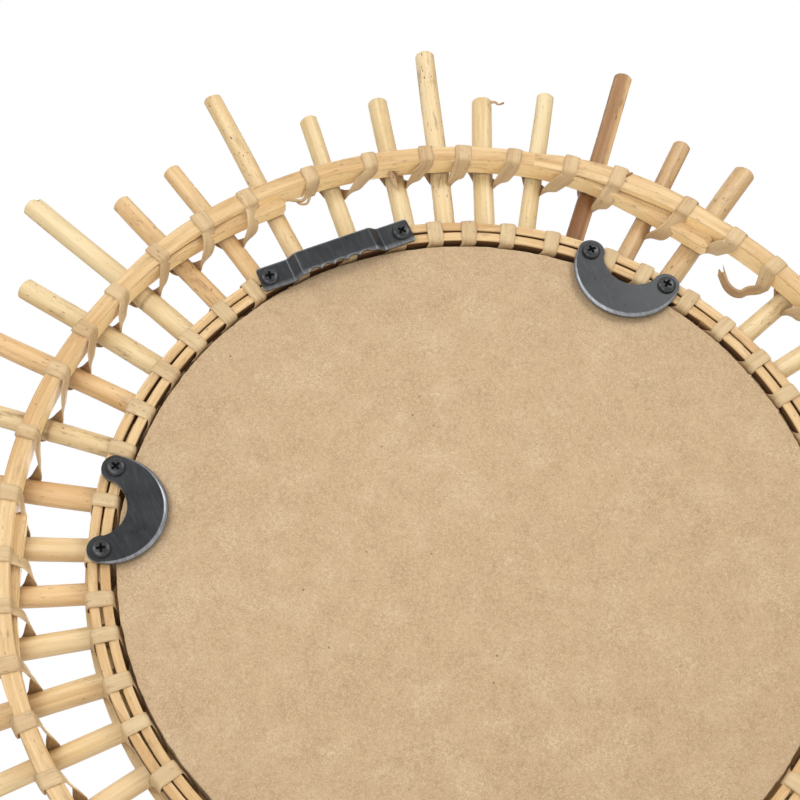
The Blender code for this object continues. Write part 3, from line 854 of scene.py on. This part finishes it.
def tie_spots(number):
    """One turn of the outer lashing: over the hoop by a ray and under the next ray."""
    luck = random.Random(300 + number % RAY_COUNT)
    places = turn_places(number, HOOP_INNER, TIE_SHIFTS, 2.9, luck)
    crossing, there, beside, half, under, axis = places
    inboard, bulge = hoop_at(crossing)
    width = PEEL_WIDTH * luck.uniform(0.92, 1.08)
    outside = HOOP_OUTER + PEEL_LIFT + bulge
    over = HOOP_BACK + PEEL_LIFT * 0.85
    edge = HOOP_INNER - PEEL_LIFT - 0.0003
    inside = HOOP_INNER - PEEL_LIFT - inboard - 0.0016
    lean = luck.uniform(-0.1, 0.25)
    gap = there - beside - crossing
    # The last column is painted shade, deepest where the peel runs under the next ray
    return [
        (outside, crossing - 0.2, HOOP_BACK - 0.0024, 1.0, 0.0, 0.15, width, 0.0),
        (outside - 0.0008, crossing, over - 0.0003, 0.6, 0.0, 0.8, width, 0.0),
        (HOOP_OUTER - 0.0035, crossing + lean / 2, over, 0.0, 0.0, 1.0, width, 0.0),
        (HOOP_INNER + 0.0004, crossing + lean, over - 0.0003, -0.65, 0.0, 0.75, width, 0.0),
        (edge, crossing + lean + 0.15, HOOP_BACK - 0.0026, -1.0, -0.1, 0.2, width * 1.05, 0.0),
        (inside + 0.0002, crossing + gap * 0.36, RING_BACK - 0.0012, -1.0, -0.15, 0.1,
         width * 1.15, 0.0),
        (inside - 0.0014, crossing + gap * 0.72, RAY_BACK + 0.0008, -0.9, -0.35, 0.05,
         width * 1.08, 0.05),
        (inside - 0.0004, there - beside, axis + 0.0008, -0.5, -0.9, -0.1, width * 0.8, 0.6),
        (inside + 0.003, there - beside * 0.55, under + half * 0.35, 0.0, -0.6, -0.8,
         width * 0.92, 0.7),
        (HOOP_INNER + 0.003, there + beside * 0.3, under, 0.1, 0.2, -1.0, width * 0.95, 0.3),
        (outside - 0.0022, there + beside, axis + 0.0004, 0.55, 0.8, -0.3, width * 0.97, 0.2),
        (outside, there + 2.5, RAY_BACK - 0.0004, 1.0, 0.15, 0.0, width, 0.0),
    ]


def binding_spots(number):
    """One turn of the inner lashing: over both strips beside a ray and under the next ray."""
    luck = random.Random(500 + number)
    places = turn_places(number, RING_OUTER, BINDING_SHIFTS, 2.2, luck)
    crossing, there, beside, _, under, axis = places
    width = PEEL_WIDTH * luck.uniform(0.9, 1.02)
    outside = RING_OUTER + 0.0008
    over = RING_BACK + PEEL_LIFT * 0.85
    gap = there - beside - crossing
    middle = (RING_RADIUS + RING_OUTER) / 2
    # The last column is painted shade, deepest where the peel runs under the next ray
    return [
        (outside, crossing + 0.1, RING_BACK - 0.0022, 1.0, 0.0, 0.2, width, 0.0),
        (outside - 0.0009, crossing, over - 0.0004, 0.55, 0.0, 0.85, width, 0.0),
        (middle, crossing, over + 0.0001, 0.0, 0.0, 1.0, width * 1.04, 0.0),
        (RING_RADIUS + 0.0005, crossing, over - 0.0004, -0.6, 0.0, 0.8, width, 0.0),
        (RING_RADIUS - 0.0008, crossing + 0.1, RING_BACK - 0.0024, -1.0, 0.0, 0.1, width, 0.45),
        (RING_RADIUS - 0.0009, crossing + gap * 0.6, RAY_BACK - 0.0006, -0.9, -0.5, 0.0,
         width * 0.95, 0.8),
        (RING_RADIUS + 0.0006, there - beside, axis, -0.4, -1.0, -0.1, width * 0.92, 0.7),
        (RING_RADIUS + 0.004, there - beside * 0.2, under, 0.0, -0.2, -1.0, width * 0.92, 0.3),
        (outside - 0.0018, there + beside, axis + 0.0004, 0.5, 0.8, -0.3, width * 0.96, 0.2),
        (outside, there + beside + 0.5, RAY_BACK - 0.0004, 1.0, 0.2, 0.0, width, 0.0),
    ]


# The torn end at the missing ray, as spots in millimetres
CURL = (
    (179.4, 22.6, -7.0, -0.6, -0.6, 0.4, 5.2, 0.2),
    (175.0, 23.5, -6.2, -0.5, -0.8, 0.6, 4.6, 0.35),
    (171.2, 23.9, -5.6, -0.8, -0.5, 0.5, 4.4, 0.4),
    (169.4, 24.9, -5.0, -0.9, 0.1, 0.5, 4.4, 0.5),
    (170.3, 26.4, -5.0, -0.5, 0.8, 0.5, 4.2, 0.5),
    (174.6, 28.2, -5.6, 0.1, 0.9, 0.5, 4.0, 0.4),
)
# Slivers and torn fibres lifted from the canes and the peel, likewise
SLIVERS = (
    ((183.6, 77.9, 0.6, -1.0, 0.3, 0.2, 1.0, 0.3), (181.6, 77.5, -0.6, -1.0, 0.3, 0.3, 2.4, 0.3),
     (178.6, 77.2, -2.4, -0.6, 0.3, 0.8, 2.2, 0.35), (175.2, 76.9, -3.9, -0.4, 0.3, 1.0, 0.6, 0.4)),
    ((183.4, 77.4, 0.2, -1.0, -0.2, 0.2, 1.2, 1.0), (181.2, 76.8, -1.5, -1.0, -0.2, 0.3, 1.9, 1.0),
     (178.4, 76.7, -3.2, -0.6, -0.2, 0.8, 0.8, 1.0)),
    ((221.6, 63.9, -4.6, 0.3, 0.3, 1.0, 1.4, 0.3), (221.4, 63.3, -4.0, 0.3, 0.3, 1.0, 1.2, 0.3),
     (220.2, 62.9, -4.0, 0.9, 0.3, 0.6, 0.9, 0.6), (221.6, 62.3, -4.2, 0.6, -0.8, 0.6, 0.7, 0.9)),
    ((181.6, 89.4, -2.2, -1.0, 0.2, 0.2, 1.8, 0.0), (180.2, 90.4, -2.8, -1.0, 0.2, 0.2, 2.0, 0.1),
     (180.9, 91.3, -2.2, -1.0, 0.2, 0.2, 1.5, 0.2), (182.2, 92.4, -1.4, -1.0, 0.2, 0.2, 0.5, 0.3)),
    ((180.8, 89.2, -3.0, -1.0, 0.0, 0.2, 1.6, 0.1), (178.6, 89.9, -3.4, -1.0, 0.3, 0.2, 1.2, 0.2),
     (178.9, 90.7, -3.2, -1.0, 0.3, 0.2, 0.9, 0.3), (180.3, 91.2, -2.8, -1.0, 0.2, 0.2, 0.4, 0.3)),
    ((187.2, 46.2, 6.0, 0.2, 0.0, 1.0, 0.5, 1.0), (190.0, 45.5, 6.2, 0.2, 0.0, 1.0, 0.9, 1.0),
     (192.2, 45.1, 5.8, 0.6, 0.0, 0.8, 0.9, 1.0)),
)


def in_metres(spots):
    in_thousandths = (1000, 1, 1000, 1, 1, 1, 1000, 1)
    return [tuple(value / part for value, part in zip(spot, in_thousandths)) for spot in spots]


def make_lashings(material):
    """The peel breaks off at the missing ray, where it curls, and again where it is torn."""
    broken = MISSING_RAY - 1
    whole = tie_spots(TORN_TIE)[-4:]
    for number in range(TORN_TIE + 1, broken + RAY_COUNT):
        whole += tie_spots(number)
    whole += tie_spots(broken + RAY_COUNT)[:5]
    radius, angle, depth = whole[-1][:3]
    whole.append((radius - 0.0024, angle - 0.4, depth - 0.006, -1.0, -0.2, 0.3, PEEL_WIDTH, 0.1))
    whole += [(spot[0], spot[1] + 360.0, *spot[2:]) for spot in in_metres(CURL)]
    piece = peel_strip("outer_lashing_peel", whole, material, 21.0, frayed=True)
    put(piece, "peel", "outer_lashing")
    short = tie_spots(broken)[-1:]
    for number in range(broken + 1, TORN_TIE):
        short += tie_spots(number)
    short += tie_spots(TORN_TIE)[:5]
    radius, angle, depth = short[-1][:3]
    short += [
        (radius + 0.0002, angle + 0.25, depth - 0.0034, -1.0, 0.1, 0.0, PEEL_WIDTH, 0.05),
        (radius - 0.0004, angle + 0.6, depth - 0.0054, -1.0, 0.2, 0.3, PEEL_WIDTH * 0.9, 0.15),
    ]
    put(peel_strip("torn_lashing_peel", short, material, 22.0, frayed=True), "peel")
    bindings = [row for number in range(RAY_COUNT) for row in binding_spots(number)]
    bound = peel_strip("inner_lashing_peel", bindings, material, 23.0, (0.35, 0.3), closed=True)
    put(bound, "peel", "inner_lashing")
    for number, spots in enumerate(SLIVERS):
        name = f"sliver_{number + 1}"
        put(peel_strip(name, in_metres(spots), material, 27.0 + number, (0.5, 0.6)), "peel")


# Board, glass and rim

BOARD_SIDES = 1440
# Inset and depth of the levels that the discs are built up from
BOARD_LEVELS = (
    (-0.0006, 0.0), (-0.0001, -0.0003), (0.0, -0.0012), (0.0, -BOARD_THICKNESS + 0.0004),
    (-0.0004, -BOARD_THICKNESS),
)
GLASS_SIDES = 360
GLASS_LEVELS = ((0.0, GLASS_BACK), (0.0, GLASS_FRONT + 0.0008), (-0.0008, GLASS_FRONT))


def stepped_disc(name, edge, levels, material, smooth_angle):
    """A disc with the edge's radius for each of its sides, built up from levels."""
    sections = np.array([
        [place(radius + inset, 360.0 * k / len(edge), depth) for k, radius in enumerate(edge)]
        for inset, depth in levels
    ])
    return skin(name, sections, [material], smooth_angle=smooth_angle)


def make_board(material):
    """The board, with a sawn edge that is slightly ragged."""
    luck = random.Random(9)
    drift = 0.0
    edge = []
    for _ in range(BOARD_SIDES):
        drift = 0.85 * drift + luck.uniform(-0.0001, 0.0001)
        edge.append(BOARD_RADIUS - 0.0003 + max(-0.0004, min(0.0002, drift)))
    piece = stepped_disc("fibreboard_disc", edge, BOARD_LEVELS, material, 35.0)
    put(piece, "board", "backing_board")


RIM_SIDES = 240
RIM_REEDS = 4
REED_SIDES = 9
RIM_BACK = -0.0171
RIM_GAP = 0.0003
RIM_SEED = 31.0


def make_rim(materials):
    """The front rim, reeded like a row of canes laid side by side."""
    reed = RIM_WIDTH / RIM_REEDS
    lip = GLASS_FRONT - RIM_GAP
    step = GLASS_RADIUS + RIM_GAP
    profile = [(RIM_RADIUS, lip), (step, lip), (step, RIM_BACK), (RIM_RADIUS + RIM_WIDTH, RIM_BACK)]
    for number in range(RIM_REEDS):
        middle = RIM_RADIUS + RIM_WIDTH - reed * (number + 0.5)
        share = (middle - RIM_RADIUS) / RIM_WIDTH
        height = 0.0025 + 0.0015 * math.sin(math.pi * share)
        for k in range(REED_SIDES):
            turn = math.pi * (k + 0.5) / REED_SIDES
            front = RIM_BACK - height * 0.55 - height * 0.6 * math.sin(turn)
            profile.append((middle + reed / 2 * math.cos(turn), front))
    angles = [360.0 * k / RIM_SIDES for k in range(RIM_SIDES)]
    sections, grain = swept(angles, [profile] * RIM_SIDES, RIM_RADIUS, RIM_SEED)
    look = flat_look(sections.shape[:2], 0.05, 0.5, 0.25)
    piece = skin("reeded_rim", sections, materials, grain, look, True, 75.0)
    put(piece, "rim_cane", "front_rim")


def make_glass(material):
    edge = [GLASS_RADIUS] * GLASS_SIDES
    put(stepped_disc("mirror_disc", edge, GLASS_LEVELS, material, 25.0), "mirror", "mirror_glass")


# Steel

HANGER_STEP = 0.0002
HANGER_SOFT = 0.0002
HANGER_CORNER = 0.0012
# Points of the hanger's section along its rounded back edges, and how far they are rubbed
HANGER_RIMS = [5, 6, 7, 10, 11, 12]
HANGER_WEAR = 0.55
# Levels of a clip: how far its belly and its other edges are drawn in, and their height
CLIP_LEVELS = (
    (0.0, 0.0, 0.0), (0.0, 0.0, 0.0002), (0.0003, 0.00004, 0.00044), (0.0008, 0.0001, 0.0008),
    (0.0015, 0.00014, 0.00114), (0.00185, 0.0002, 0.0012),
)
# Steps along a clip's belly, its lobes and its notch, and its bevel's painted highlight and wear
BELLY_STEPS = 64
LOBE_STEPS = 20
NOTCH_STEPS = 40
CLIP_BEVEL_WEAR_AND_HIGHLIGHT = 0.8
# Outline of a screw's head, as (radius, height), and the cross in it
SCREW_PROFILE = (
    (0.0039, 0.0), (0.0039, 0.0006), (0.00375, 0.001), (0.0034, 0.0014), (0.0029, 0.00165),
    (0.0022, 0.0018), (0.0012, 0.00188),
)
SCREW_SIDES = 48
SCREW_HEIGHT = 0.0019
RECESS_REACH = 0.0027
RECESS_WIDTH = 0.0012
RECESS_DEPTH = 0.0016
# From the middle of a clip, and of the hanger, out to a screw
CLIP_SCREW_OUT = 0.01765
HANGER_SCREW_OUT = 0.03025


def hanger_section(along):
    """Lower edge, upper edge and back face of the hanger at a place along it."""
    half = HANGER_LENGTH / 2
    rise = ease((half - TAB_LENGTH - abs(along)) / BEND_RUN)
    lower = HANGER_RADIUS - HANGER_WIDTH / 2
    upper = HANGER_RADIUS + HANGER_WIDTH / 2
    span = TEETH * TOOTH_PITCH
    if abs(along) < span / 2:
        share = (along + span / 2) / TOOTH_PITCH % 1.0
        lower += TOOTH_DEPTH * math.sin(math.pi * share) ** 0.8
    short = max(0.0, abs(along) - (half - HANGER_CORNER))
    cut = HANGER_CORNER - math.sqrt(max(0.0, HANGER_CORNER ** 2 - short ** 2))
    return lower + cut, upper - cut, STEEL_SEAT + STEEL + BRIDGE_RISE * rise


def make_hanger_plate(material):
    half = HANGER_LENGTH / 2
    count = int(HANGER_LENGTH / HANGER_STEP)
    stations = [k * HANGER_STEP - half for k in range(count + 1)]
    soft = HANGER_SOFT
    level = HANGER_RADIUS - HANGER_WIDTH / 2 + TOOTH_DEPTH * 1.6
    sections = []
    for along in stations:
        lower, upper, back = hanger_section(along)
        front = back - STEEL
        outline = (
            (lower, front), (lower + soft, front), (level, front), (upper - soft, front),
            (upper, front),
            (upper, back - soft), (upper - soft * 0.3, back - soft * 0.3), (upper - soft, back),
            (upper - 4 * soft, back), (level, back), (lower + soft, back),
            (lower + soft * 0.3, back - soft * 0.3), (lower, back - soft),
        )
        sections.append([
            (-along, depth - BRIDGE_BACK, height - HANGER_RADIUS) for height, depth in outline
        ])
    sections = np.array(sections)
    wear_and_highlight = np.zeros_like(sections)
    wear_and_highlight[:, HANGER_RIMS, 0] = HANGER_WEAR
    piece = skin("hanger_plate", sections, [material], look=wear_and_highlight, smooth_angle=30.0)
    put(piece, "black_steel", "sawtooth_hanger")


def clip_outline(shrink, edge_shrink):
    """Crescent seen from the back, as (sideways, outward), with its edges drawn in."""
    lobe_place = CLIP_RADIUS - CLIP_LOBE_RADIUS
    lobe = CLIP_LOBE_RADIUS - edge_shrink
    notch = CLIP_NOTCH_RADIUS + edge_shrink
    notch_end = math.acos(min(1.0, (lobe_place - lobe) / notch))
    points = []
    for k in range(BELLY_STEPS + 1):
        turn = math.pi + math.pi * k / BELLY_STEPS
        inset = edge_shrink + (shrink - edge_shrink) * abs(math.sin(turn)) ** 0.5
        belly = CLIP_RADIUS - inset
        points.append((belly * math.cos(turn), belly * math.sin(turn)))
    for k in range(1, LOBE_STEPS + 1):
        turn = math.pi * k / LOBE_STEPS
        points.append((lobe_place + lobe * math.cos(turn), lobe * math.sin(turn)))
    for k in range(1, NOTCH_STEPS):
        turn = -notch_end - (math.pi - 2 * notch_end) * k / NOTCH_STEPS
        points.append((notch * math.cos(turn), CLIP_NOTCH_RISE + notch * math.sin(turn)))
    for k in range(LOBE_STEPS):
        turn = math.pi * k / LOBE_STEPS
        points.append((-lobe_place + lobe * math.cos(turn), lobe * math.sin(turn)))
    return points


def make_clip_plates(material):
    for number, angle in enumerate(CLIP_ANGLES):
        centre = place(CLIP_SEAT_RADIUS, angle, 0.0)
        outward = radial(angle)
        sideways = np.cross(outward, TO_WALL)
        sections = []
        for shrink, edge_shrink, height in CLIP_LEVELS:
            level = centre + TO_WALL * (STEEL_SEAT + height)
            outline = clip_outline(shrink, edge_shrink)
            sections.append([level + sideways * side + outward * out for side, out in outline])
        sections = np.array(sections)
        wear_and_highlight = np.zeros_like(sections)
        # The bevel is painted lighter: a painted highlight, with some rubbed paint
        wear_and_highlight[2:5, :, 0] = CLIP_BEVEL_WEAR_AND_HIGHLIGHT
        name = f"clip_plate_{number + 1}"
        piece = skin(name, sections, [material], look=wear_and_highlight, smooth_angle=35.0)
        for face in piece.data.polygons[-2:]:
            face.use_smooth = False
        put(piece, "black_steel", f"crescent_clip_{number + 1}")


def screw_mesh(materials):
    """A pan-head screw with a crossed recess, its seat at the origin and its head towards +Z."""
    turns = np.linspace(0.0, 2 * math.pi, SCREW_SIDES, endpoint=False)
    sections = np.array([
        [(radius * math.cos(turn), radius * math.sin(turn), height) for turn in turns]
        for radius, height in SCREW_PROFILE
    ])
    head = skin("screw_head", sections, materials[:1], smooth_angle=40.0)
    head.data.materials.append(materials[1])
    top, bottom = SCREW_HEIGHT + 0.001, SCREW_HEIGHT - RECESS_DEPTH
    along_x = (RECESS_REACH, RECESS_WIDTH / 2, 0.35, 0.8)
    along_y = (RECESS_WIDTH / 2, RECESS_REACH, 0.8, 0.35)
    cutters = []
    for k, (reach, width, narrow_x, narrow_y) in enumerate((along_x, along_y)):
        shape = np.array([
            [(x * reach, y * width, top) for x, y in CORNERS],
            [(x * reach * narrow_x, y * width * narrow_y, bottom) for x, y in CORNERS],
        ])
        cutter = skin(f"recess_{k}", shape, materials[:1])
        cutter.data.materials.append(materials[1])
        for face in cutter.data.polygons:
            face.material_index = 1
        cut = head.modifiers.new(f"recess_{k}", "BOOLEAN")
        cut.operation = "DIFFERENCE"
        cut.solver = "EXACT"
        cut.object = cutter
        cutters.append(cutter)
    bpy.context.view_layer.update()
    cut_head = head.evaluated_get(bpy.context.evaluated_depsgraph_get())
    finished = bpy.data.meshes.new_from_object(cut_head)
    for old in (head, *cutters):
        bpy.data.objects.remove(old)
    return finished


def make_screws(materials):
    mesh = screw_mesh(materials)
    seats = []
    for angle in CLIP_ANGLES:
        middle = place(CLIP_SEAT_RADIUS, angle, STEEL_SEAT + STEEL)
        sideways = np.cross(radial(angle), TO_WALL)
        seats += [middle + sideways * CLIP_SCREW_OUT * way for way in (-1, 1)]
    middle = place(HANGER_RADIUS, 90.0, STEEL_SEAT + STEEL)
    seats += [middle + np.array([way * HANGER_SCREW_OUT, 0.0, 0.0]) for way in (-1, 1)]
    for number, seat in enumerate(seats):
        piece = new_object(f"screw_{number + 1}", mesh)
        spin = Matrix.Rotation(math.radians(37.0 * number), 4, "Z")
        stand = Matrix.Rotation(math.radians(-90.0), 4, "X")
        piece.matrix_world = Matrix.Translation(Vector(seat)) @ stand @ spin
        put(piece, "black_steel")


# Studio

def make_camera():
    data = bpy.data.cameras.new("camera")
    data.lens = CAMERA_LENS
    data.sensor_width = SENSOR
    camera = new_object("camera", data)
    spot, target = Vector(CAMERA_PLACE), Vector(CAMERA_TARGET)
    level = (target - spot).to_track_quat("-Z", "Y")
    roll = Matrix.Rotation(math.radians(CAMERA_ROLL), 4, "Z")
    camera.matrix_world = Matrix.Translation(spot) @ level.to_matrix().to_4x4() @ roll
    bpy.context.scene.camera = camera


def make_area_light(name, spot, size, power):
    data = bpy.data.lights.new(name, "AREA")
    data.shape = "DISK"
    data.size = size
    data.energy = power
    lamp = new_object(name, data)
    lamp.location = spot
    lamp.rotation_mode = "QUATERNION"
    lamp.rotation_quaternion = (Vector(LIT_SPOT) - Vector(spot)).to_track_quat("-Z", "Y")


def make_world():
    """A plain white backdrop; the room's light is weaker, and weakest from the sides."""
    world = bpy.data.worlds.new("studio")
    world.use_nodes = True
    tree = world.node_tree
    shown = add(tree, "ShaderNodeLightPath").outputs["Is Camera Ray"]
    sky = split(tree, add(tree, "ShaderNodeTexCoord").outputs["Generated"])
    room = spread(tree, calc(tree, "ABSOLUTE", sky[1]), 0.0, 0.9, *ROOM_LIGHT)
    room = calc(tree, "ADD", room, spread(tree, sky[2], 0.2, 1.0, 0.0, SKY_LIGHT))
    strength = spread(tree, shown, 0.0, 1.0, room, BACKDROP_LIGHT)
    fill(tree, tree.nodes["Background"], {"Color": (1.0, 1.0, 1.0, 1.0), "Strength": strength})
    bpy.context.scene.world = world


def make_studio():
    make_world()
    bpy.context.scene.view_settings.view_transform = "Standard"
    level = SIZE_AT_LOAD[0][2] - FLOOR_GAP
    corners = np.array([(x * FLOOR_REACH, y * FLOOR_REACH, level) for x, y in CORNERS])
    floor = make_object("floor", corners, [[0, 1, 2, 3]], [make_floor_material()], turn_out=False)
    for light in LIGHTS:
        make_area_light(*light)


def make_pieces():
    cane, bent, peel = (make_cane_material(name, *kind) for name, kind in CANE_KINDS.items())
    end = make_end_material()
    steel = make_steel_material()
    for number in range(RAY_COUNT):
        if number != MISSING_RAY:
            make_ray(number, [cane, end])
    make_hoop_canes([bent, end])
    make_ring_canes([bent, end])
    make_lashings(peel)
    make_board(make_board_material())
    make_rim([cane])
    make_glass(make_mirror_material())
    make_hanger_plate(steel)
    make_clip_plates(steel)
    make_screws([steel, make_recess_material()])


make_camera()
make_studio()
make_pieces()
